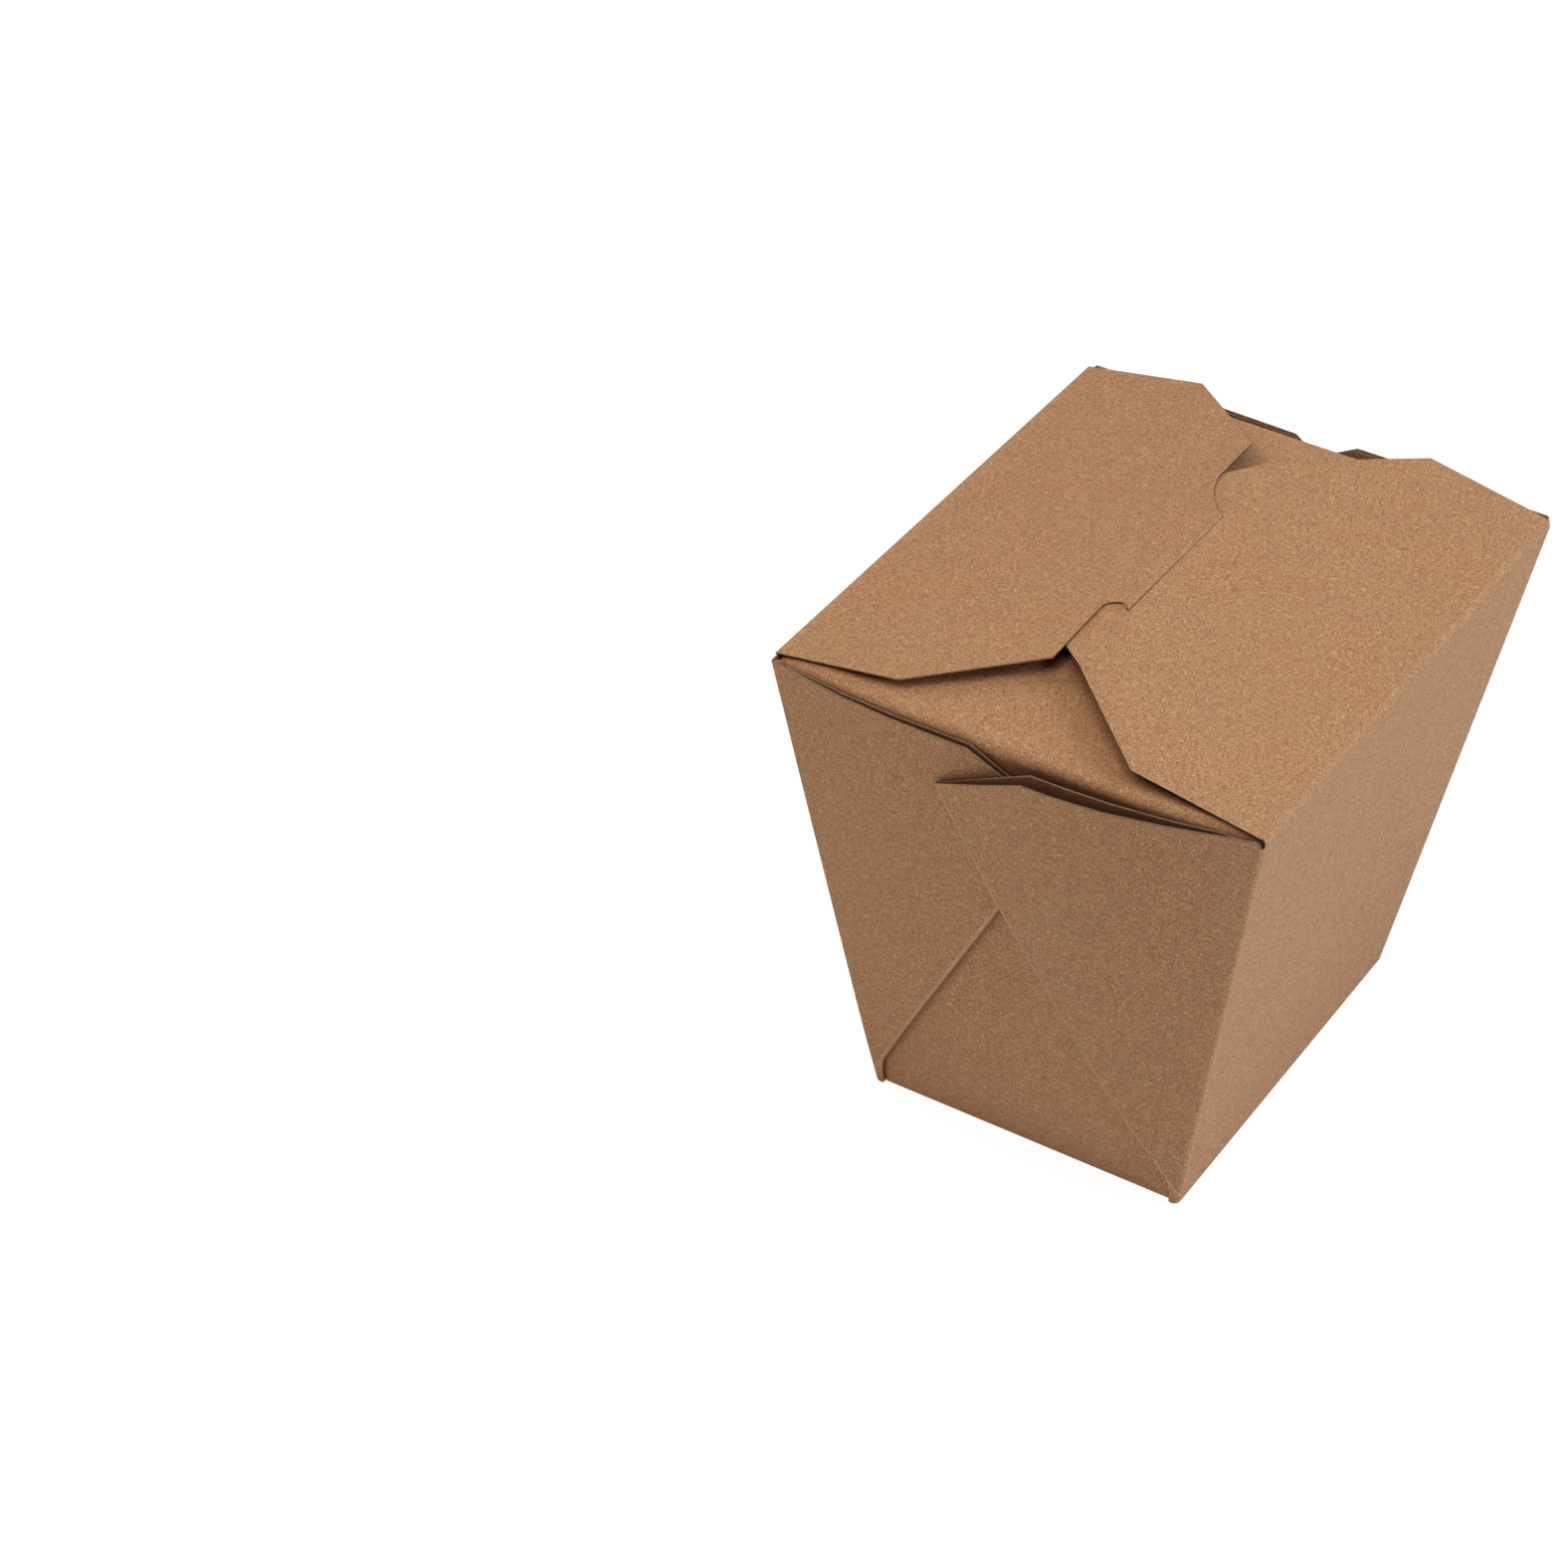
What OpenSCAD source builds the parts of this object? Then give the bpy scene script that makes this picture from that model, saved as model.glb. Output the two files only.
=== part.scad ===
/* [Box size] */
// Width of the base, between the walls that carry the two main flaps
base_w = 67.5; // [58:0.5:76]
// Depth of the base, between the two end panels
base_d = 89; // [78:0.5:98]
// Width at the rim
rim_w = 102; // [94:0.5:112]
// Depth at the rim
rim_d = 122; // [112:0.5:132]
// Height of the walls
wall_h = 106.5; // [92:0.5:122]

/* [Card] */
// Thickness of the kraft card
card = 0.45; // [0.36:0.01:0.5]
// Air between two layers that are folded flat on each other
layer_air = 0.15; // [0.1:0.01:0.25]
// Mid-card radius of the upright corner bends
corner_r = 1.1; // [0.9:0.1:2]
// Mid-card radius of the bends round the base
base_r = 0.8; // [0.7:0.1:1.6]
// Radius of the bead that a crease raises on the inside
bead_r = 0.3; // [0.2:0.05:0.4]

/* [Corner gussets] */
// Height at which the diagonal folds leave the corners
diagonal_start = 3; // [2:0.5:6]
// Distance that a gusset's tip reaches past the middle
tip_past = 13; // [6:0.5:18]
// Distance from the rim down to a gusset's tip
tip_drop = 10.5; // [6:0.5:16]
// Distance from the middle to the kink in a front gusset's top edge
kink_x = 6.8; // [3:0.2:12]
// Distance from the middle to the kink in the rear's upper gusset
rear_upper_kink = 7.6; // [3:0.2:12]
// Distance from the middle to the kink in the rear's lower gusset
rear_lower_kink = 4.6; // [1:0.2:12]
// How far the top edges of the rear gussets dip towards their folds
rear_dip = 1; // [0:0.1:3]
// Outward bow of the front end panel
front_bow = 5; // [2:0.25:6]
// Outward bow of the rear end panel
rear_bow = 0.3; // [0.2:0.1:5]
// Part of these bows that is left at the rim
rim_bow = 0.7; // [0.4:0.05:1]
// Gape between the two layers of the front's upper gusset, at its top edge
upper_gape = 3; // [0.5:0.1:3.5]
// Gape between the two layers of the front's lower gusset, at its top edge
lower_gape = 0.9; // [0.2:0.1:1]
// Gape between the two layers of each rear gusset, at its top edge
rear_gape = 0.25; // [0.2:0.05:0.4]
// Extra room that the front's upper gusset leaves over the lower one, at the rim
front_room = 1.2; // [1:0.1:2]
// Extra room that the rear's upper gusset leaves over the lower one, at the rim
rear_room = 0.6; // [0.5:0.1:1.5]
// Extra air between an end panel and its gussets
panel_air = 0.3; // [0.25:0.05:0.5]

/* [Main flaps] */
// Rise of the two main flaps from their creases to the ridge
gable_rise = 8.1; // [6:0.1:10]
// Distance of the ridge from the middle of the box
ridge_x = 2.2; // [0:0.1:5]
// Distance that a main flap's square sides stop short of the corners
flap_inset = 0.5; // [0.4:0.1:1]
// How much a main flap widens along its far side
far_flare = 0.9; // [0:0.1:1.5]
// Distance that the tongue flap's near side stops short of the corner
near_inset = 1.5; // [0.5:0.1:2]
// Length of the tongue flap's square sides, before they are cut off at an angle
tongue_side = 26.2; // [20:0.1:30]
// Length of the slot flap's square sides
slot_side = 28; // [20:0.1:30]
// Width that the angled cuts leave at the end of the tongue flap
tongue_flap_end = 85; // [74:1:95]
// Distance from the middle to the near end of the slot flap's free edge
slot_flap_near = 27.2; // [22:0.1:34]
// Distance from the middle to the far end of that edge
slot_flap_far = 21.8; // [16:0.1:34]
// Length that the slot flap goes on under the tongue flap
strip_len = 16; // [10:0.5:18]
// Mid-card radius of the slot flap's bend at the rim
flap_r = 1.4; // [1:0.1:2]

/* [End flaps] */
// Length of an end flap
end_flap_len = 52; // [40:0.5:54]
// Width of an end flap's free edge
end_flap_edge = 34; // [24:1:44]
// Length of an end flap's square sides
end_flap_side = 24; // [16:1:30]
// Mid-card radius of an end flap's soft fold
fold_r = 2.2; // [1.4:0.1:2.8]
// Rise of the front's soft fold over the rim, in the middle
front_rise = 1.3; // [0.5:0.1:2]
// Rise of the rear's soft fold over the rim, in the middle
rear_rise = 0.6; // [0.2:0.1:2]

/* [Tongue and slit] */
// Length of the slit
slit_len = 37.4; // [30:0.2:46]
// Distance of the slit's middle from the middle of the box
slit_shift = -3.7; // [-6:0.1:4]
// Opening of the slit, which the tongue holds apart
slit_w = 0.9; // [0.8:0.05:1.4]
// Length of the tongue beyond the slit
tongue_len = 12; // [8:0.5:14]
// Radius of the tongue's own corners
tongue_corner_r = 6; // [3:0.5:8]
// Distance from the near shoulder's edge to the ridge
near_shoulder = 4.7; // [3.4:0.1:7]
// How much further from the ridge that edge is where it meets the tongue
near_sway = 0.5; // [0:0.1:1]
// Distance from the far shoulder's edge to the ridge
far_shoulder = 7.6; // [5:0.2:10]
// Length of the long curve beside the tongue's far edge
far_curve = 15; // [10:0.5:20]

/* [Hinge] */
// Air between the tongue flap's crease and the wall's top edge
hinge_air = 0.25; // [0.2:0.05:0.4]

/* [Hidden] */
kraft = [0.69, 0.52, 0.38];
pitch = card + layer_air;
half_w = rim_w / 2;
half_d = rim_d / 2;
taper_x = (rim_w - base_w) / 2 / wall_h;
taper_y = (rim_d - base_d) / 2 / wall_h;
floor_z = base_r + card / 2;
// Length of card that one sheet runs on inside another where they join
seat = 0.5;
// How far a sheet's edge runs past the start of the bend that it joins
lap = 0.02;
// How far its faces lie inside that bend's faces, and how thin its end is where it sits in the other
tuck = 0.012;
thin_part = 0.6;
// Least air where nothing else sets it, and the spare length of a blank that is cut to its outline
least_air = 0.1;
spare = 5;
// Where the layers start, measured inwards from a corner's outside
outer_in = corner_r + card / 2;
inner_in = pitch * 1.5 + card;
fold_edge = (pitch + card) / 2;
min_reach = max(inner_in, outer_in) + fold_edge + least_air;
// How gently a diagonal fold curves into its corner
reach_ease = 0.7;
// How the end panels' bow grows up from the base, in from a corner, and settles towards the rim
bow_start = 22;
bow_ease = 30;
air_ease = 12;
settle_h = wall_h * 0.66;
// How the upper gusset climbs over the lower one
climb_in = 42;
climb_h = wall_h * 0.28;
climb_len = wall_h * 0.42;
// Fall of the end flaps' soft folds from the middle to the corners
front_fall = 2;
rear_fall = 1.3;
// Half width over which two layers of card lie over an end flap, not one
double_reach = end_flap_edge * 0.7;
// Air between an end flap's free edge and the card over it
flap_air = 0.5;
// Extra length of the slit beside the tongue's near edge and its far one, and the slant of its ends
near_room = 0.25;
far_room = 0.2;
slit_slant = 0.9;
// How fast the curve beside the tongue's far edge leaves the slit
far_bend = 0.64;
// Length of the flap's plane that belongs to the tongue, in front of the slit
root_run = 1.3;
// Mid-card radius of the two bends that take the tongue down through the slit, and the slope between them
dive_r = 0.35;
dive_angle = 76;
// The main flaps' planes, mid-card
slot_angle = atan(gable_rise / (half_w - ridge_x));
ridge_z = wall_h + gable_rise - card / 2;
hinge_x = -half_w + card / 2;
hinge_z = wall_h - card / 2;
tongue_angle = atan((ridge_z + pitch - hinge_z) / (ridge_x - hinge_x));
left_wall_top = hinge_z - card / 2 - hinge_air;
wall_angle = 90 - atan(taper_x);
bend_turn = 180 - slot_angle - wall_angle;
bend_run = (flap_r + card / 2) * tan(bend_turn / 2);
right_wall_top = wall_h - bend_run * sin(wall_angle);
slit_near = slit_shift - slit_len / 2;
slit_far = slit_shift + slit_len / 2;
tongue_root = ridge_x - slit_w - root_run;
diagonal_slope = (half_x(diagonal_start) + tip_past) / (wall_h - tip_drop - diagonal_start);
wall_rows = [0, 0.03, 0.07, 0.13, 0.22, 0.34, 0.48, 0.63, 0.78, 0.9, 1];

function unit(v) = v / norm(v);
function mix(a, b, t) = a + (b - a) * t;
function smooth(t) = let (c = min(1, max(0, t))) c * c * (3 - 2 * c);
function back(list) = [for (i = [len(list) - 1 : -1 : 0]) list[i]];
function quad(a, b, c, d) = [[a, b, c], [a, c, d]];

// Half width and half depth of the box at a height, on the outside of its corners
function half_x(z) = base_w / 2 + taper_x * z;
function half_y(z) = base_d / 2 + taper_y * z;

// The right gusset's diagonal fold at a height, and how far it reaches in from the corner
function diagonal_x(z) = half_x(diagonal_start) - diagonal_slope * (z - diagonal_start);
function reach(z) =
    let (d = half_x(z) - diagonal_x(z))
    (d + min_reach + sqrt(pow(d - min_reach, 2) + 4 * reach_ease * reach_ease)) / 2;

// Outward bow of an end panel
function bow(x, z, rear) =
    let (in = min(bow_ease, max(0, half_x(z) - abs(x))) / bow_ease)
    (rear ? rear_bow : front_bow) * sin(90 * min(1, max(0, z - floor_z) / bow_start))
    * mix(1, rim_bow, smooth((z - settle_h) / (wall_h - settle_h)))
    * (1 - pow(1 - in, 2));

// Half width of an end panel at a height
function panel_edge(z) = half_x(z) - inner_in + lap;

// Mid-card places of the layers, measured outwards from the plane of the corners
function panel_out(x, z, rear) =
    let (in = half_x(z) - abs(x))
    bow(x, z, rear) - pitch - panel_air * smooth(z / air_ease) * smooth(in / air_ease);
function climb(x, z, rear) =
    (2 * pitch + (rear ? rear_room : front_room) * pow(z / wall_h, 3))
    * smooth((half_x(z) - x) / climb_in) * smooth((z - climb_h) / climb_len);
function gape(f, z, most) = most * pow(z / wall_h, 3) * sin(180 * pow(f, 1.3));
function inner_out(x, z, upper, rear) = bow(x, z, rear) + (upper ? climb(x, z, rear) : 0);
function outer_out(x, z, f, upper, rear) =
    inner_out(x, z, upper, rear) + pitch + gape(f, z, rear ? rear_gape : upper ? upper_gape : lower_gape);

// Distance from the middle to a gusset's kink, and the fractions of its width at which lines run up it
function kink_at(upper, rear) = !rear ? kink_x : upper ? rear_upper_kink : rear_lower_kink;
function gusset_cols(upper, rear) =
    let (
        side = half_w - outer_in,
        kink_f = (side - kink_at(upper, rear)) / (side - diagonal_x(wall_h) - fold_edge)
    )
    [0, 0.1, 0.24, 0.4, 0.54, kink_f, 0.8, 0.92, 1];

// Top of a gusset on the line that runs up it at a fraction of its width
function gusset_top(f, upper, rear) =
    let (
        kink = kink_at(upper, rear),
        top_cut = tip_drop / (kink + tip_past),
        dip = rear ? rear_dip * f : 0,
        x0 = (1 - f) * (base_w / 2 - outer_in)
            + f * (half_x(diagonal_start) + diagonal_slope * diagonal_start + fold_edge),
        dx = (1 - f) * taper_x - f * diagonal_slope
    )
    min(wall_h, (wall_h - top_cut * (kink - x0)) / (1 - top_cut * dx)) - dip;

// A point of the right-hand wall and its gussets: which stretch of the fold, how far along it, and the row
function wrap_point(kind, t, row, upper, wall_top, rear) =
    let (
        f = kind == "inner" || kind == "outer" ? t : kind == "diagonal" ? 1 : 0,
        rise = kind == "bend" ? smooth(t / 45 - 1)
            : kind == "outer" || kind == "diagonal" || (kind == "inner" && t > 0) ? 1 : 0,
        top = rise < 1 ? mix(wall_top, wall_h, rise) : gusset_top(f, upper, rear),
        z = mix(floor_z - lap, top, wall_rows[row]),
        w = half_x(z),
        d = half_y(z),
        turn = reach(z) - fold_edge,
        start = kind == "inner" ? inner_in : outer_in,
        bend_x = w - outer_in,
        bend_y = d + outer_out(bend_x, z, 0, upper, rear) - corner_r
    )
    kind == "wall" ? [w - card / 2, -t * bend_y, z]
    : kind == "bend" ? [bend_x + corner_r * cos(t), -bend_y - corner_r * sin(t), z]
    : kind == "outer" || kind == "inner" ? let (x = w - mix(start, turn, f))
        [x, -d - (kind == "inner" ? inner_out(x, z, upper, rear) : outer_out(x, z, f, upper, rear)), z]
    : kind == "diagonal" ? let (x = w - turn)
        [x - pitch / 2 * sin(t), -d - inner_out(x, z, upper, rear) - pitch / 2 * (1 + cos(t)), z]
    : kind == "corner" ? let (
            x = w - inner_in,
            from = panel_out(x, z, rear),
            to = inner_out(x, z, upper, rear),
            r = (to - from) / 2
        )
        [x + r * sin(t), -d - (from + to) / 2 - r * cos(t), z]
    : let (x = w - inner_in - 2 * seat) [x, -d - panel_out(x, z, rear), z];

function wrap_end(upper, rear) = concat(
    [["seat", 0]],
    [for (a = [180 : -45 : 45]) ["corner", a]],
    [for (f = gusset_cols(upper, rear)) ["inner", f]],
    [for (a = [144 : -36 : 36]) ["diagonal", a]],
    [for (f = back(gusset_cols(upper, rear))) ["outer", f]],
    [for (a = [67.5 : -22.5 : 0]) ["bend", a]],
    [["wall", 0.5]]
);

// A sheet of card on a grid of mid-card points; a thinned edge sits inside the card that it joins
module sheet(grid, closed = false, thin = [false, false, false, false]) {
    cols = len(grid);
    rows = len(grid[0]);
    last = closed ? cols : cols - 1;
    function col(c) = closed ? (c + cols) % cols : min(cols - 1, max(0, c));
    function at(c, r) = grid[col(c)][min(rows - 1, max(0, r))];
    function thinned(c, r) = (thin[0] && c == 0) || (thin[1] && c == cols - 1)
        || (thin[2] && r == 0) || (thin[3] && r == rows - 1);
    function normal(c, r) = unit(cross(at(c + 1, r) - at(c - 1, r), at(c, r + 1) - at(c, r - 1)));
    function side(s) = [for (c = [0 : cols - 1], r = [0 : rows - 1])
        at(c, r) + s * card / 2 * (thinned(c, r) ? thin_part : 1) * normal(c, r)];
    n = cols * rows;
    function i(c, r) = (c % cols) * rows + r;
    faces = concat(
        [for (c = [0 : last - 1], r = [0 : rows - 2]) each
            quad(i(c, r), i(c, r + 1), i(c + 1, r + 1), i(c + 1, r))],
        [for (c = [0 : last - 1], r = [0 : rows - 2]) each
            quad(n + i(c, r), n + i(c + 1, r), n + i(c + 1, r + 1), n + i(c, r + 1))],
        [for (c = [0 : last - 1]) each quad(i(c + 1, 0), n + i(c + 1, 0), n + i(c, 0), i(c, 0))],
        closed ? [
            [for (c = [cols - 1 : -1 : 0]) i(c, rows - 1)],
            [for (c = [0 : cols - 1]) n + i(c, rows - 1)]
        ]
        : [for (c = [0 : last - 1]) each
            quad(i(c, rows - 1), n + i(c, rows - 1), n + i(c + 1, rows - 1), i(c + 1, rows - 1))],
        closed ? [] : [for (r = [0 : rows - 2]) each
            quad(i(0, r), n + i(0, r), n + i(0, r + 1), i(0, r + 1))],
        closed ? [] : [for (r = [0 : rows - 2]) each
            quad(i(cols - 1, r + 1), n + i(cols - 1, r + 1), n + i(cols - 1, r), i(cols - 1, r))]
    );
    polyhedron(points = concat(side(1), side(-1)), faces = faces);
}

// One side wall with the two gussets that fold from it, the right-hand one as drawn
module wall_wrap(upper, wall_top) {
    ends = [for (rear = [false, true]) [for (s = wrap_end(upper, rear))
        [for (r = [0 : len(wall_rows) - 1]) wrap_point(s[0], s[1], r, upper, wall_top, rear)]]];
    far = [for (c = back(ends[1])) [for (p = c) [p[0], -p[1], p[2]]]];
    sheet(concat(ends[0], far), thin = [true, true, false, false]);
}

// Highest mid-card place that the main flaps leave for an end flap
function under_flaps(x) =
    wall_h + (half_w - abs(x)) * tan(slot_angle)
    - card * (abs(x) < double_reach ? 2.5 : 1.5) - flap_air;

function end_flap_run(x) =
    let (side_x = half_w - inner_in, edge_x = end_flap_edge / 2)
    abs(x) <= edge_x ? end_flap_len
    : mix(end_flap_len, end_flap_side, (abs(x) - edge_x) / (side_x - edge_x));

// A column of an end panel as it stands at the front, up over its soft fold and in along the end flap
function panel_column(u, rear) =
    let (
        lean = atan(taper_y),
        rise = (rear ? rear_rise : front_rise) - card / 2 - (rear ? rear_fall : front_fall) * pow(abs(u), 5),
        fold_z = wall_h + rise - fold_r * (1 + sin(lean)),
        wall = [for (f = wall_rows) let (z = mix(floor_z - lap, fold_z, f), x = u * panel_edge(z))
            [x, tuck - half_y(z) - panel_out(x, z, rear), z]],
        from = wall[len(wall) - 1],
        x = u * panel_edge(wall_h),
        mid = [x, from[1] + fold_r * cos(lean), fold_z + fold_r * sin(lean)],
        run = end_flap_run(x) - fold_r,
        pitch_up = atan((under_flaps(x) - mid[2] - fold_r) / run),
        fold = [for (k = [1 : 5]) let (a = mix(90 + lean, pitch_up, k / 5))
            mid + fold_r * [0, -sin(a), cos(a)]],
        end = fold[len(fold) - 1],
        flap = [for (k = [0.2, 0.5, 0.8, 1]) end + k * run * [0, cos(pitch_up), sin(pitch_up)]]
    )
    concat(wall, fold, flap);

module end_panel(rear) {
    edge = end_flap_edge / 2 / (half_w - inner_in);
    half = [0, edge / 2, edge, 0.5, 0.66, 0.8, 0.92, 1];
    sheet([for (u = concat([for (h = back(half)) -h], [for (k = [1 : len(half) - 1]) half[k]]))
        panel_column(u, rear)]);
}

// A ring round the base, at a height and an inset
function base_ring(z, inset, r) =
    let (x = half_x(z) - card / 2 - tuck - inset - r, y = half_y(z) - pitch - 2 * tuck - inset - r)
    [for (q = [0 : 3], a = [0 : 22.5 : 90]) [
        x * (q == 0 || q == 3 ? 1 : -1) + r * cos(90 * q + a),
        y * (q < 2 ? 1 : -1) + r * sin(90 * q + a),
        z
    ]];

module base_tray() {
    bend = [for (a = [0 : 30 : 90]) [base_r * (1 - sin(a)), base_r * (1 - cos(a))]];
    stops = concat(
        [[floor_z + seat, 0]],
        [for (b = bend) [b[0] + card / 2, b[1]]],
        [[card / 2, base_r + seat]]
    );
    rings = [for (s = stops) base_ring(s[0], s[1], corner_r + base_r - s[1])];
    sheet([for (c = [0 : len(rings[0]) - 1]) [for (ring = rings) ring[c]]],
        closed = true, thin = [false, false, true, false]);
}

// A raised line that a crease leaves on the inside of the card
module bead(from, to) {
    hull() {
        translate(from) sphere(bead_r, $fn = 8);
        translate(to) sphere(bead_r, $fn = 8);
    }
}

module crease_beads() {
    low_x = half_x(floor_z) - card / 2 - base_r / 2;
    low_y = half_y(floor_z) - pitch - base_r / 2;
    low_z = card / 2 + base_r / 2;
    end = corner_r + base_r;
    foot_z = floor_z + 1;
    top_z = wall_h - front_rise - front_fall - 2 * fold_r;
    rim = slot_bend(0.5, flap_r - card / 2);
    for (s = [-1, 1]) {
        bead([s * low_x, end - low_y, low_z], [s * low_x, low_y - end, low_z]);
        bead([end - low_x, s * low_y, low_z], [low_x - end, s * low_y, low_z]);
        for (q = [-1, 1]) {
            bead(
                [q * (half_x(foot_z) - inner_in), s * (half_y(foot_z) - pitch - card / 2), foot_z],
                [q * (half_x(top_z) - inner_in), s * (half_y(top_z) - pitch - card / 2), top_z]
            );
        }
    }
    bead([rim[0], end - half_d, rim[1]], [rim[0], half_d - end, rim[1]]);
}

// A band of card in section, along a mid-card path of points
function band(path, thin_start = false) =
    let (
        last = len(path) - 1,
        side = [for (k = [0 : last])
            let (
                a = unit(path[k] - path[max(0, k - 1)] + (k == 0 ? path[1] - path[0] : [0, 0])),
                b = unit(path[min(last, k + 1)] - path[k] + (k == last ? path[k] - path[k - 1] : [0, 0])),
                m = unit(a + b),
                grow = 1 / max(0.5, m * a)
            )
            card / 2 * grow * (thin_start && k == 0 ? thin_part : 1) * [-m[1], m[0]]]
    )
    concat([for (k = [0 : last]) path[k] + side[k]], [for (k = [last : -1 : 0]) path[k] - side[k]]);

module band_along_y(points) {
    rotate([90, 0, 0]) linear_extrude(rim_d + 2 * spare, center = true) polygon(points);
}

// A point of the slot flap's rim bend, in section: how far round it, and how far from its middle
function slot_bend(t, r) =
    let (
        foot = [half_x(right_wall_top) - card / 2 - tuck, right_wall_top],
        mid = foot + flap_r * [-sin(wall_angle), cos(wall_angle)],
        a = wall_angle - 90 + bend_turn * t
    )
    mid + r * [cos(a), sin(a)];

// The slot flap's section: up the wall, round the rim bend, up to the ridge and down under the tongue flap
function slot_path() =
    let (foot = slot_bend(0, flap_r))
    concat(
        [foot - seat * [cos(wall_angle), sin(wall_angle)]],
        [for (k = [0 : 5]) slot_bend(k / 5, flap_r)],
        [[ridge_x, ridge_z], [ridge_x - strip_len, ridge_z - strip_len * tan(tongue_angle)]]
    );

function slot_outline() =
    let (
        side_y = half_d - flap_inset,
        cut_x = half_w - slot_side * cos(slot_angle),
        end_x = ridge_x - strip_len
    )
    [
        [half_w + spare, -side_y], [cut_x, -side_y], [end_x, -slot_flap_near],
        [end_x, slot_flap_far], [cut_x + far_flare, side_y + far_flare],
        [half_w, side_y], [half_w + spare, side_y]
    ];

module upright(points) {
    translate([0, 0, wall_h / 2]) linear_extrude(wall_h) polygon(points);
}

module slot_flap() {
    difference() {
        intersection() {
            band_along_y(band(slot_path(), thin_start = true));
            upright(slot_outline());
        }
        upright([
            [ridge_x + lap, slit_near - near_room], [ridge_x + lap, slit_far + far_room],
            [ridge_x - slit_w, slit_far + far_room + slit_slant],
            [ridge_x - slit_w, slit_near - near_room + slit_slant]
        ]);
    }
}

module box_body() {
    color(kraft) union() {
        wall_wrap(true, right_wall_top + lap);
        mirror([1, 0, 0]) wall_wrap(false, left_wall_top);
        end_panel(false);
        mirror([0, 1, 0]) end_panel(true);
        base_tray();
        crease_beads();
        slot_flap();
    }
}

// The tongue flap seen from above, with its shoulders and the whole tongue
function tongue_outline() =
    let (
        side_y = half_d - flap_inset,
        cut_x = hinge_x + tongue_side * cos(tongue_angle),
        notch_r = (near_shoulder + near_sway) / 2,
        end_x = ridge_x + tongue_len,
        r = tongue_corner_r
    )
    concat(
        [[hinge_x - spare, side_y], [hinge_x - spare, near_inset - half_d], [cut_x, near_inset - half_d]],
        [[ridge_x - near_shoulder, -tongue_flap_end / 2]],
        [for (a = [180 : -20 : 0])
            [ridge_x - notch_r + notch_r * cos(a), slit_near - slit_slant + notch_r * sin(a)]],
        [for (a = [-75 : 15 : 0]) [end_x - r + r * cos(a), slit_near + r + r * sin(a)]],
        [for (a = [0 : 15 : 75]) [end_x - r + r * cos(a), slit_far - r - 1 + r * sin(a)]],
        [for (a = [90 : -10 : 0])
            [ridge_x - far_shoulder * cos(a), slit_far + far_curve * pow(1 - sin(a), far_bend)]],
        [[ridge_x - far_shoulder, tongue_flap_end / 2]],
        [[cut_x - far_flare, side_y + far_flare], [hinge_x, side_y]]
    );

function tongue_plane(x) = [x, hinge_z + (x - hinge_x) * tan(tongue_angle)];

module tongue_flap() {
    section = band([[hinge_x, hinge_z], tongue_plane(tongue_root)]);
    edge = [for (a = [-75 : 15 : 75])
        [hinge_x, hinge_z] - card / 2 * [cos(tongue_angle + a), sin(tongue_angle + a)]];
    color(kraft) intersection() {
        band_along_y(concat(back(edge), section));
        upright(tongue_outline());
    }
}

// An arc of mid-card points from a point, as the heading turns from one angle to another
function swerve(from, start, end, r) =
    let (way = end > start ? 1 : -1, mid = from + way * r * [-sin(start), cos(start)])
    [for (k = [1 : 4]) let (a = mix(start, end, k / 4)) mid + way * r * [sin(a), -cos(a)]];

// The tongue's section: off the flap, down through the slit and on under the slot flap
function tongue_path() =
    let (
        drop = pitch / cos(slot_angle),
        top = swerve(tongue_plane(ridge_x - slit_w), tongue_angle, -dive_angle, dive_r),
        foot = swerve(top[3], -dive_angle, -slot_angle, dive_r),
        over = foot[3][1] - ridge_z + drop + (foot[3][0] - ridge_x) * tan(slot_angle),
        dive_len = over / (sin(dive_angle) - cos(dive_angle) * tan(slot_angle)),
        dive = dive_len * [cos(dive_angle), -sin(dive_angle)],
        end = ridge_x + tongue_len
    )
    concat(
        [tongue_plane(tongue_root)],
        [tongue_plane(ridge_x - slit_w)],
        top,
        [for (p = concat([top[3]], foot)) p + dive],
        [[end, ridge_z - drop - tongue_len * tan(slot_angle)]]
    );

module lock_tongue() {
    color(kraft) intersection() {
        band_along_y(band(tongue_path()));
        upright(tongue_outline());
    }
}

box_body();
tongue_flap();
lock_tongue();
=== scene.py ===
import math

import bpy
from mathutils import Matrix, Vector
from mathutils.bvhtree import BVHTree


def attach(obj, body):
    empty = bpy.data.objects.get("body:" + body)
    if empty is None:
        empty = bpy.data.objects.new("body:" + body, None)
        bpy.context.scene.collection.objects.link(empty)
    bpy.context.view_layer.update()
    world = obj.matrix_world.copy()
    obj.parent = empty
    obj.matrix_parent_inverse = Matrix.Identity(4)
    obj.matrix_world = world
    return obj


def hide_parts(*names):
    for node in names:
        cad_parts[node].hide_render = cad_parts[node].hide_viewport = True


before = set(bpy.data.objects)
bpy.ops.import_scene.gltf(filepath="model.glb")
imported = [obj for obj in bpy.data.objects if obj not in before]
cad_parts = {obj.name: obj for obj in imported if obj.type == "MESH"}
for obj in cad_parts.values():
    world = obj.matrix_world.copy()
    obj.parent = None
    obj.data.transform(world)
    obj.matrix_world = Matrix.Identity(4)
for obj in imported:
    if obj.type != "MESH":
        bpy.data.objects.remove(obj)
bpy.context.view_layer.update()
print("frame loaded")


# camera, at the photograph's viewing angle

cameraSet = {
    "place": (0.29529, -0.63582, 0.58233),
    "turn": (53.015, -1.267, 31.763),  # degrees
    "lens": 102.76, "sensorWidth": 36,  # millimetres
    "nearest": 0.01, "farthest": 20,
}

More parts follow.
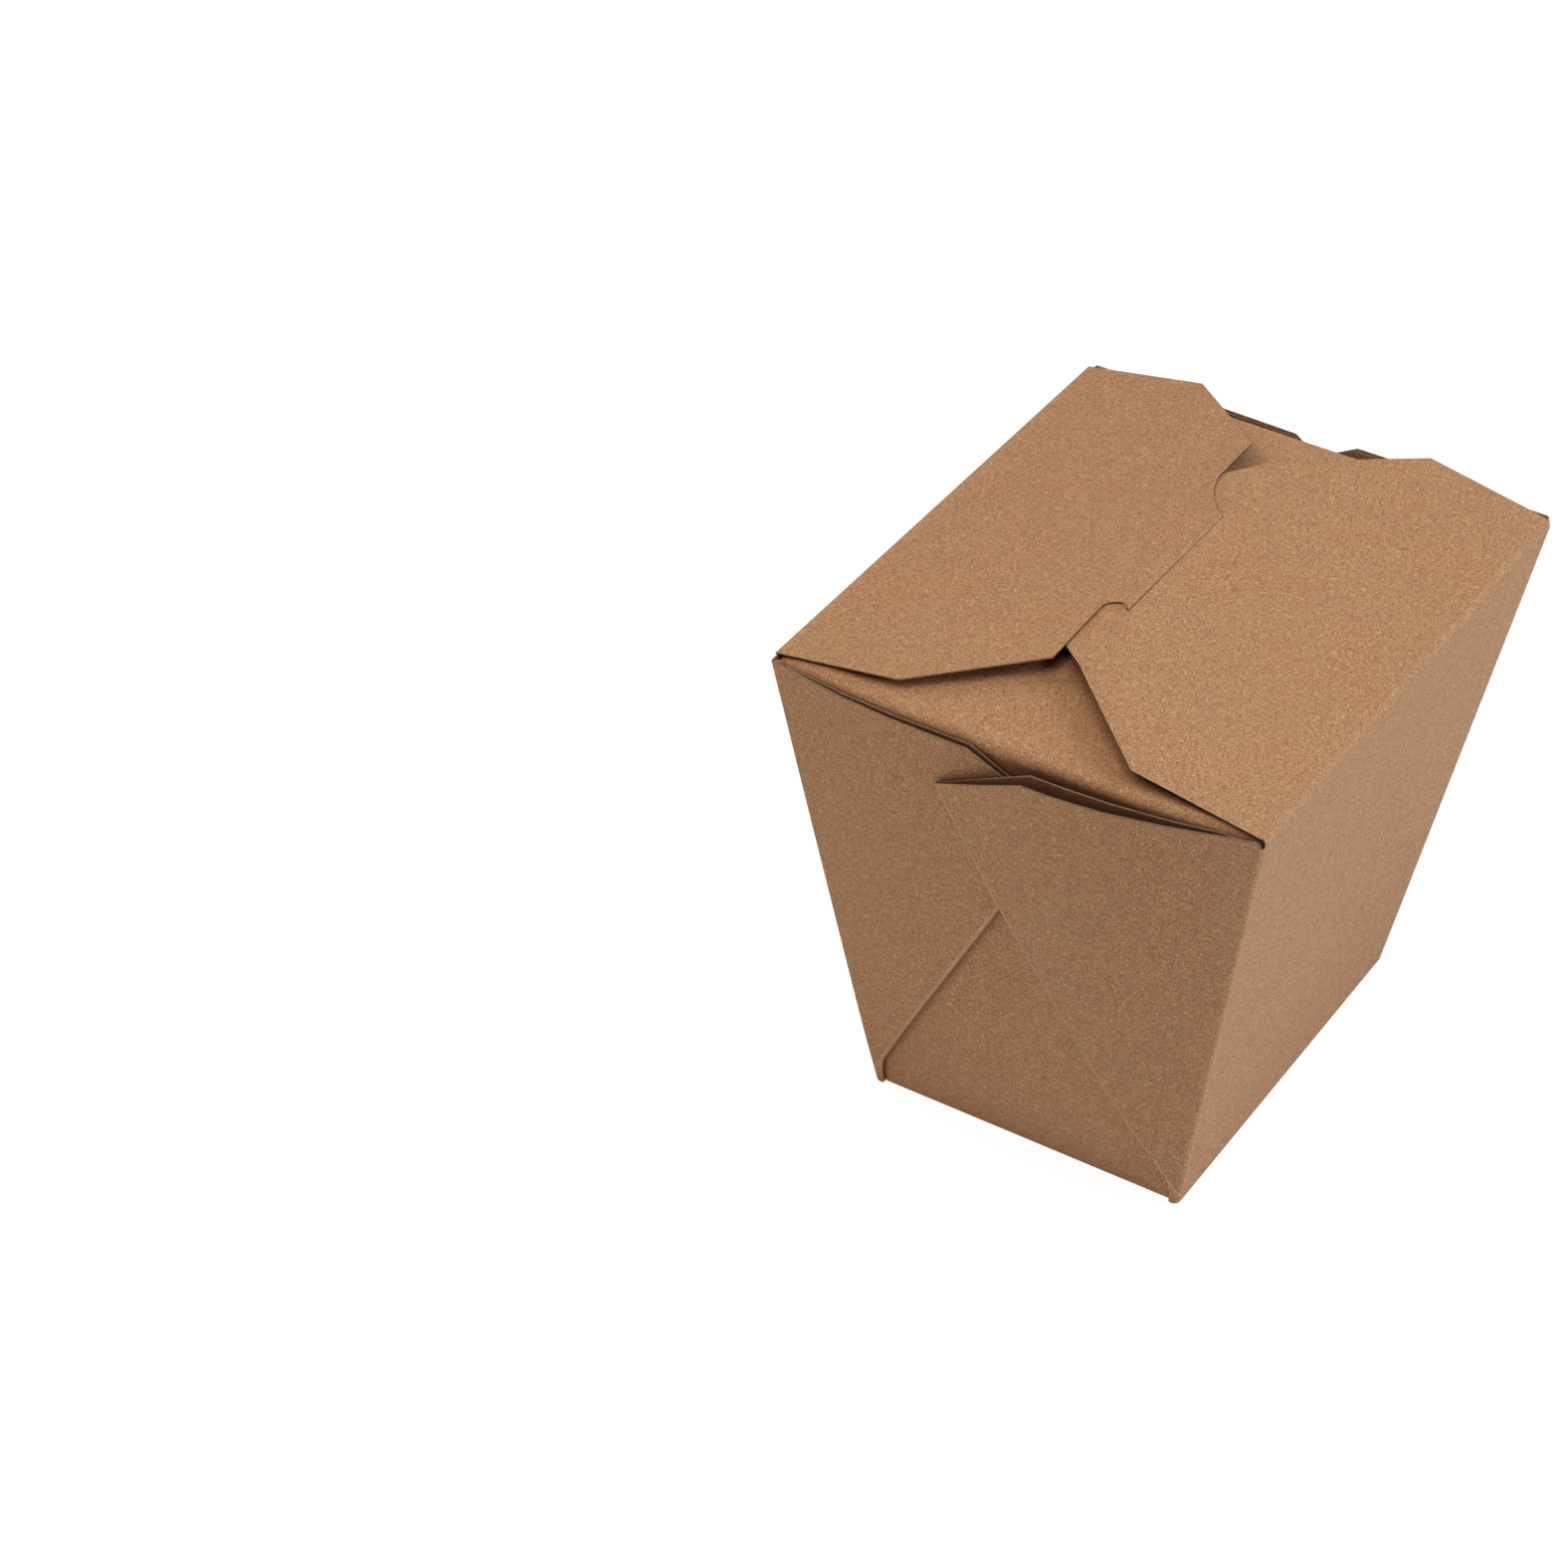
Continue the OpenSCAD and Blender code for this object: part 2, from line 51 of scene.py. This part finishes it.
bpy.ops.object.camera_add(
    location=cameraSet["place"],
    rotation=[math.radians(turn) for turn in cameraSet["turn"]],
)
camera = bpy.context.object
camera.name = "camera"
camera.data.lens = cameraSet["lens"]
camera.data.sensor_width = cameraSet["sensorWidth"]
camera.data.clip_start = cameraSet["nearest"]
camera.data.clip_end = cameraSet["farthest"]
bpy.context.scene.camera = camera
bpy.context.scene.view_settings.view_transform = "Standard"
print("camera placed")


# shader maths written as expressions

class Link:
    def __init__(self, paint, socket):
        self.paint = paint
        self.socket = socket

    def maths(self, operation, *values):
        return self.paint.node("ShaderNodeMath", {"operation": operation}, dict(enumerate(values)))

    def __add__(self, other):
        return self.maths("ADD", self, other)

    def __radd__(self, other):
        return self.maths("ADD", other, self)

    def __sub__(self, other):
        return self.maths("SUBTRACT", self, other)

    def __rsub__(self, other):
        return self.maths("SUBTRACT", other, self)

    def __mul__(self, other):
        return self.maths("MULTIPLY", self, other)

    def __rmul__(self, other):
        return self.maths("MULTIPLY", other, self)

    def __truediv__(self, other):
        return self.maths("DIVIDE", self, other)

    def __abs__(self):
        return self.maths("ABSOLUTE", self)

    def larger(self, other):
        return self.maths("MAXIMUM", self, other)

    def smaller(self, other):
        return self.maths("MINIMUM", self, other)

    def far(self, other):  # how far a point is from a line, from its distances along two axes
        return self.maths("SQRT", self * self + other * other)


spotRoughness = 0.55  # how strongly the finer spots of a noise show


class Paint:  # the nodes of a material or of the world
    def __init__(self, owner):
        owner.use_nodes = True
        self.tree = owner.node_tree
        self.tree.nodes.clear()

    def node(self, kind, settings, values, output=0):
        made = self.tree.nodes.new(kind)
        for setting, value in settings.items():
            setattr(made, setting, value)
        for name, value in values.items():
            if isinstance(value, Link):
                self.tree.links.new(value.socket, made.inputs[name])
            else:
                made.inputs[name].default_value = value
        return Link(self, made.outputs[output]) if made.outputs else None

    def noise(self, place, size, detail, output=0):  # size is a spot's, in the units of place
        return self.node(
            "ShaderNodeTexNoise", {},
            {"Vector": place, "Scale": 1 / size, "Detail": detail, "Roughness": spotRoughness},
            output,
        )

    def ramp(self, value, low, high):  # 0 at low, 1 at high, smooth between
        return self.node(
            "ShaderNodeMapRange", {"interpolation_type": "SMOOTHSTEP"},
            {"Value": value, "From Min": low, "From Max": high},
        )

    def mix(self, factor, first, second):  # of two colours
        return self.node(
            "ShaderNodeMix", {"data_type": "RGBA"}, {0: factor, 6: first, 7: second}, 2
        )

    def vector(self, operation, first, second):
        return self.node("ShaderNodeVectorMath", {"operation": operation}, {0: first, 1: second})

    def scaled(self, vector, scale):
        return self.node(
            "ShaderNodeVectorMath", {"operation": "SCALE"}, {0: vector, "Scale": scale}
        )

    def axis(self, vector, number):
        return self.node("ShaderNodeSeparateXYZ", {}, {0: vector}, number)

    def mark(self, name):  # a value stored on the faces
        return self.node("ShaderNodeAttribute", {"attribute_name": name}, {}, "Fac")


def linear(red, green, blue):  # a colour given as it looks on a screen, 0 to 255
    return tuple(
        (tone / 255 / 12.92) if tone < 10.3 else ((tone / 255 + 0.055) / 1.055) ** 2.4
        for tone in (red, green, blue)
    ) + (1.0,)


# the kraft card, in millimetres; a range gives where a pattern starts and where it is full

boxLines = {
    "baseHalfWidth": 33.75, "rimHalfWidth": 51.0, "rimInset": 0.5,
    "baseHalfDepth": 44.5, "rimHalfDepth": 61.0,
    "wallHeight": 106.5,
    "diagonalFoot": 35.76, "diagonalSlope": 0.5079, "diagonalTop": 96.5, "diagonalFade": 1.0,
}

kraftSet = {
    "warmTone": linear(178, 120, 79), "greenTone": linear(176, 122, 81),
    "paleFibre": linear(223, 174, 127), "darkFibre": linear(116, 76, 46),
    # the pale of worn folds, and of worn creases with a painted highlight on them
    "wornAndHighlitTone": linear(218, 174, 132), "coreTone": linear(234, 190, 144),
    # the two tones of painted shade, near the layers and deep between them
    "paintedShadeTone": linear(140, 78, 42), "paintedDeepShadeTone": linear(66, 30, 10),
    "lightness": 0.91, "cloudStrength": 0.1, "grainStrength": 0.2,
    "patchSize": 22.0, "cloudSize": 4.5, "grainSize": 0.3, "patchRange": (0.36, 0.64),
    # fibres
    "fibreLength": 1.8, "fibreWidth": 0.19, "fibreCurl": 0.7, "curlSize": 1.5,
    "fibreShift": (7.3, 3.1, 5.7),  # from one way of lying to the next
    "paleStrength": 0.68, "paleRange": (0.62, 0.74),
    "darkStrength": 0.3, "darkRange": (0.38, 0.26),
    # creases and folds, painted paler; along the creases the paling is wear with a painted
    # highlight, on the folds it is wear; the least is the share of the wear that no rubbed spot
    # takes away
    "rubSize": 0.9, "rubRange": (0.36, 0.64),
    "creaseStrength": 0.14, "creaseLeast": 0.4, "creaseRange": (0.2, 1.6),
    "foldStrength": 0.85, "foldLeast": 0.5, "foldClear": (1.2, 2.2),
    "lineStart": (-0.3, 0.0), "lineEnd": (0.3, 0.75), "lineHidden": (-0.4, 0.0),
    "outwardRange": (5.0, 10.0),
    # cut edges
    "edgeStrength": 0.85, "layerSize": 0.35, "layerRange": (0.5, 0.75),
    # painted shade between the layers, from ambient occlusion; cutOpen is the share of it that cut
    # edges are spared
    "paintedShadeReach": 0.008, "paintedShadeRays": 12, "cutOpen": 0.5,
    "paintedShadeStrength": 0.5, "paintedShadeRange": (0.4, 0.98),
    "paintedCavityShadeStrength": 0.88, "paintedCavityShadeRange": (0.08, 0.7),
    # surface
    "grainHeight": 0.6, "paleHeight": 0.6, "darkDepth": 0.4, "cloudHeight": 0.5,
    "bumpHeight": 0.0002, "bumpStrength": 0.65,
    "roughness": 0.7, "grainRoughness": 0.12, "wornRoughness": 0.08,
    "specular": 0.34, "refraction": 1.45,
}


def fibres(paint, millimetres):  # short and curled, laid six ways so that each face shows some
    sway = paint.noise(millimetres, kraftSet["curlSize"], 1.0, "Color")
    sway = paint.vector("SUBTRACT", sway, (0.5, 0.5, 0.5))
    sway = paint.scaled(sway, 2 * kraftSet["fibreCurl"])
    curled = paint.vector("ADD", millimetres, sway)
    golden = (1 + math.sqrt(5)) / 2
    ways = [
        (0, 1, golden), (0, 1, -golden), (1, golden, 0),
        (1, -golden, 0), (golden, 0, 1), (-golden, 0, 1),
    ]
    pale = dark = 0
    for number, way in enumerate(ways):
        along = paint.node(
            "ShaderNodeMapping", {"vector_type": "TEXTURE"},
            {
                "Vector": curled,
                "Location": [shift * number for shift in kraftSet["fibreShift"]],
                "Rotation": Vector(way).to_track_quat("X", "Z").to_euler(),
                "Scale": (kraftSet["fibreLength"], kraftSet["fibreWidth"], kraftSet["fibreWidth"]),
            },
        )
        strand = paint.noise(along, 1.0, 0.0)
        pale = paint.ramp(strand, *kraftSet["paleRange"]) + pale
        dark = paint.ramp(strand, *kraftSet["darkRange"]) + dark
    return pale.smaller(1), dark.smaller(1)


def fromCrease(x, y, z):  # distance to the nearest upright corner or lid crease
    rise = z / boxLines["wallHeight"]
    widening = boxLines["rimHalfWidth"] - boxLines["baseHalfWidth"]
    deepening = boxLines["rimHalfDepth"] - boxLines["baseHalfDepth"]
    sideways = abs(x) - boxLines["baseHalfWidth"] - rise * widening
    endways = abs(y) - boxLines["baseHalfDepth"] - rise * deepening
    inwards = abs(x) - boxLines["rimHalfWidth"] + boxLines["rimInset"]
    rim = inwards.far(z - boxLines["wallHeight"])
    return sideways.far(endways).smaller(rim)


def gussetLines(paint, x, y, z):  # 1 on the diagonal folds, on the outside of the end panels
    slope = boxLines["diagonalSlope"]
    foot = boxLines["diagonalFoot"] - z * slope
    upper = (x - foot) / math.hypot(1, slope)
    lower = (0 - x - foot) / math.hypot(1, slope)
    upperLine, lowerLine = (
        paint.ramp(fold, *kraftSet["lineStart"]) - paint.ramp(fold, *kraftSet["lineEnd"])
        for fold in (upper, lower)
    )
    lowerLine = lowerLine * (1 - paint.ramp(upper, *kraftSet["lineHidden"]))
    normal = paint.node("ShaderNodeNewGeometry", {}, {}, "Normal")
    outwards = paint.ramp(y * paint.axis(normal, 1), *kraftSet["outwardRange"])
    top = boxLines["diagonalTop"]
    onGusset = outwards * (1 - paint.ramp(z, top - boxLines["diagonalFade"], top))
    return upperLine.larger(lowerLine) * onGusset


def kraftCard(name):
    material = bpy.data.materials.new(name)
    paint = Paint(material)
    place = paint.node("ShaderNodeTexCoord", {}, {}, "Object")
    millimetres = paint.scaled(place, 1000)
    x, y, z = (paint.axis(millimetres, number) for number in range(3))

    # patches, clouds, fine grain, fibres
    pale, dark = fibres(paint, millimetres)
    patch = paint.ramp(
        paint.noise(millimetres, kraftSet["patchSize"], 1.0), *kraftSet["patchRange"]
    )
    cloud = paint.noise(millimetres, kraftSet["cloudSize"], 3.0)
    grain = paint.noise(millimetres, kraftSet["grainSize"], 2.0)
    shade = kraftSet["lightness"] + kraftSet["cloudStrength"] * (cloud - 0.5)
    shade = shade + kraftSet["grainStrength"] * (grain - 0.5)
    colour = paint.scaled(paint.mix(patch, kraftSet["warmTone"], kraftSet["greenTone"]), shade)
    colour = paint.mix(dark * kraftSet["darkStrength"], colour, kraftSet["darkFibre"])
    colour = paint.mix(pale * kraftSet["paleStrength"], colour, kraftSet["paleFibre"])

    # creases and folds, painted paler: the bent card is worn on the folds, and worn with a painted
    # highlight along the upright corners and lid creases
    distance = fromCrease(x, y, z)
    rubbed = paint.ramp(paint.noise(millimetres, kraftSet["rubSize"], 4.0), *kraftSet["rubRange"])
    creaseWearAndHighlight = kraftSet["creaseLeast"] + (1 - kraftSet["creaseLeast"]) * rubbed
    foldWear = kraftSet["foldLeast"] + (1 - kraftSet["foldLeast"]) * rubbed
    nearCrease = 1 - paint.ramp(distance, *kraftSet["creaseRange"])
    folded = paint.mark("foldedEdge") * paint.ramp(distance, *kraftSet["foldClear"])
    onFold = gussetLines(paint, x, y, z).larger(folded)
    # painted highlight and wear along the upright corners and lid creases
    wornAndHighlit = nearCrease * kraftSet["creaseStrength"] * creaseWearAndHighlight
    wornAndHighlit = wornAndHighlit.larger(onFold * kraftSet["foldStrength"] * foldWear)
    colour = paint.mix(wornAndHighlit, colour, kraftSet["wornAndHighlitTone"])

    # cut edges, which show the card's pale core in layers
    cut = paint.mark("cutEdge")
    layered = paint.ramp(
        paint.noise(millimetres, kraftSet["layerSize"], 2.0), *kraftSet["layerRange"]
    )
    core = paint.mix(layered, kraftSet["coreTone"], kraftSet["darkFibre"])
    colour = paint.mix(cut * kraftSet["edgeStrength"], colour, core)

    # painted shade, darker near and deep between the folded layers, where ambient occlusion finds
    # them hidden; folds are spared, cut edges in part
    openness = paint.node(
        "ShaderNodeAmbientOcclusion", {"samples": kraftSet["paintedShadeRays"], "only_local": True},
        {"Distance": kraftSet["paintedShadeReach"]}, "AO",
    )
    paintedShadeMask = (1 - onFold) * (1 - kraftSet["cutOpen"] * cut)
    paintedShade = (1 - paint.ramp(openness, *kraftSet["paintedShadeRange"])) * paintedShadeMask
    colour = paint.mix(paintedShade * kraftSet["paintedShadeStrength"], colour, kraftSet["paintedShadeTone"])
    paintedDeepShade = (1 - paint.ramp(openness, *kraftSet["paintedCavityShadeRange"])) * paintedShadeMask
    colour = paint.mix(paintedDeepShade * kraftSet["paintedCavityShadeStrength"], colour, kraftSet["paintedDeepShadeTone"])

    height = kraftSet["grainHeight"] * grain + kraftSet["paleHeight"] * pale
    height = height - kraftSet["darkDepth"] * dark + kraftSet["cloudHeight"] * cloud
    bump = paint.node(
        "ShaderNodeBump", {},
        {
            "Height": height,
            "Strength": kraftSet["bumpStrength"], "Distance": kraftSet["bumpHeight"],
        },
    )
    roughness = kraftSet["roughness"] + kraftSet["grainRoughness"] * grain
    card = paint.node(
        "ShaderNodeBsdfPrincipled", {},
        {
            "Base Color": colour, "Normal": bump,
            "Roughness": roughness + kraftSet["wornRoughness"] * wornAndHighlit,
            "Specular IOR Level": kraftSet["specular"], "IOR": kraftSet["refraction"],
        },
    )
    paint.node("ShaderNodeOutputMaterial", {}, {"Surface": card})
    return material


kraft = kraftCard("kraftCard")
print("kraft card mixed")


# the folded card pieces, from the nodes of the frame, in metres and degrees

cardSet = {
    "thickness": 0.00045,
    "mergeWithin": 0.000002,
    "softAngle": 50,
    "justInside": 0.00001, "cutDepth": 2.2,  # a cut edge is deeper than this many thicknesses
    "foldWidth": 0.0006, "leastTurn": 9, "mostTurn": 60,  # the faces that count as a fold
}


def foldedCard(nodeName, pieceName, body):
    bpy.ops.object.select_all(action="DESELECT")
    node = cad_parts[nodeName]
    node.select_set(True)
    bpy.context.view_layer.objects.active = node
    bpy.ops.object.duplicate()
    piece = bpy.context.object
    piece.name = piece.data.name = pieceName
    piece.parent = None
    for key in [key for key in piece.keys() if key.startswith("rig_")]:
        del piece[key]
    bpy.ops.object.mode_set(mode="EDIT")
    bpy.ops.mesh.select_all(action="SELECT")
    bpy.ops.mesh.remove_doubles(threshold=cardSet["mergeWithin"])
    bpy.ops.mesh.dissolve_degenerate(threshold=cardSet["mergeWithin"])
    bpy.ops.object.mode_set(mode="OBJECT")
    bpy.ops.object.shade_smooth_by_angle(angle=math.radians(cardSet["softAngle"]))
    bpy.ops.object.modifier_add(type="WEIGHTED_NORMAL")
    piece.modifiers[-1].keep_sharp = True
    bpy.ops.object.modifier_apply(modifier=piece.modifiers[-1].name)
    markCutEdges(piece.data)
    markFolds(piece.data)
    piece.data.materials.clear()
    piece.data.materials.append(kraft)
    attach(piece, body)
    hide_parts(nodeName)


def markCutEdges(mesh):  # the card behind a cut edge is much deeper than it is thick
    tree = BVHTree.FromPolygons(
        [vertex.co for vertex in mesh.vertices], [face.vertices for face in mesh.polygons]
    )
    deepest = cardSet["cutDepth"] * cardSet["thickness"]
    cut = mesh.attributes.new("cutEdge", "FLOAT", "FACE")
    for face in mesh.polygons:
        start = face.center - face.normal * cardSet["justInside"]
        depth = tree.ray_cast(start, -face.normal)[3]
        cut.data[face.index].value = 1.0 if depth is None or depth > deepest else 0.0


def markFolds(mesh):  # narrow faces that turn the card outwards
    neighbours = {}
    for face in mesh.polygons:
        for edge in face.edge_keys:
            neighbours.setdefault(edge, []).append(face)
    turned = [0.0] * len(mesh.polygons)
    for pair in neighbours.values():
        if len(pair) != 2:
            continue
        first, second = pair
        if (second.center - first.center).dot(first.normal) < 0:
            turn = math.degrees(first.normal.angle(second.normal, 0))
            for face in pair:
                turned[face.index] = max(turned[face.index], turn)
    cut = mesh.attributes["cutEdge"]
    folded = mesh.attributes.new("foldedEdge", "FLOAT", "FACE")
    for face in mesh.polygons:
        corners = [mesh.vertices[index].co for index in face.vertices]
        longest = max((corners[n] - corners[n - 1]).length for n in range(len(corners)))
        narrow = 2 * face.area / longest < cardSet["foldWidth"]
        bent = cardSet["leastTurn"] < turned[face.index] < cardSet["mostTurn"]
        whole = cut.data[face.index].value == 0
        folded.data[face.index].value = 1.0 if narrow and bent and whole else 0.0


foldedCard("box_body", "folded_box", "box")
foldedCard("tongue_flap", "tongue_flap_card", "lid")
foldedCard("lock_tongue", "lock_tongue_card", "lid")
print("card pieces folded")


# floor and background

floorSet = {"width": 12, "matt": 0.86, "shine": 1.14, "whiteness": 0.8, "ambient": 0.0}
white = (1, 1, 1, 1)


def seenRays(paint):  # 1 for the rays that show the background, straight or by reflection
    kinds = ("Is Camera Ray", "Is Glossy Ray", "Is Transmission Ray")
    straight, glossy, through = (
        paint.node("ShaderNodeLightPath", {}, {}, kind) for kind in kinds
    )
    return straight.larger(glossy).larger(through)


def floorPaint():
    material = bpy.data.materials.new("paleFloor")
    paint = Paint(material)
    matt = paint.node("ShaderNodeBsdfDiffuse", {}, {"Color": (*[floorSet["matt"]] * 3, 1)})
    shine = paint.node("ShaderNodeEmission", {}, {"Color": white, "Strength": floorSet["shine"]})
    shown = paint.node(
        "ShaderNodeMixShader", {}, {0: seenRays(paint) * floorSet["whiteness"], 1: matt, 2: shine}
    )
    paint.node("ShaderNodeOutputMaterial", {}, {"Surface": shown})
    return material


bpy.ops.mesh.primitive_plane_add(size=floorSet["width"], location=(0, 0, 0))
floor = bpy.context.object
floor.name = "floor"
floor.data.materials.append(floorPaint())

world = bpy.data.worlds.new("studio")
bpy.context.scene.world = world
sky = Paint(world)
skyStrength = floorSet["ambient"] + (1 - floorSet["ambient"]) * seenRays(sky)
background = sky.node("ShaderNodeBackground", {}, {"Color": white, "Strength": skyStrength})
sky.node("ShaderNodeOutputWorld", {}, {"Surface": background})


# lamps: azimuth from the front end towards the right wall, and elevation, in degrees

lampSet = {
    "top": {"azimuth": 20, "elevation": 78, "size": 1.0, "power": 5.1, "tone": (1, 1, 1)},
    "left": {"azimuth": -85, "elevation": 40, "size": 0.9, "power": 6.4, "tone": (1, 1, 1)},
    "front": {"azimuth": -8, "elevation": 52, "size": 0.5, "power": 6.3, "tone": (1, 1, 1)},
    "right": {
        "azimuth": 107, "elevation": 30, "size": 0.8, "power": 12.6, "tone": (1, 1.14, 1.28),
    },
}
lampAim = Vector((0, 0, 0.055))
lampDistance = 1.4

for name, lamp in lampSet.items():
    azimuth, elevation = math.radians(lamp["azimuth"]), math.radians(lamp["elevation"])
    away = Vector((
        math.sin(azimuth) * math.cos(elevation),
        -math.cos(azimuth) * math.cos(elevation),
        math.sin(elevation),
    ))
    bpy.ops.object.light_add(type="AREA", location=lampAim + away * lampDistance)
    made = bpy.context.object
    made.name = name + "Lamp"
    made.rotation_euler = away.to_track_quat("Z", "Y").to_euler()
    made.data.shape = "DISK"
    made.data.size = lamp["size"]
    made.data.energy = lamp["power"]
    made.data.color = lamp["tone"]
print("studio lit")
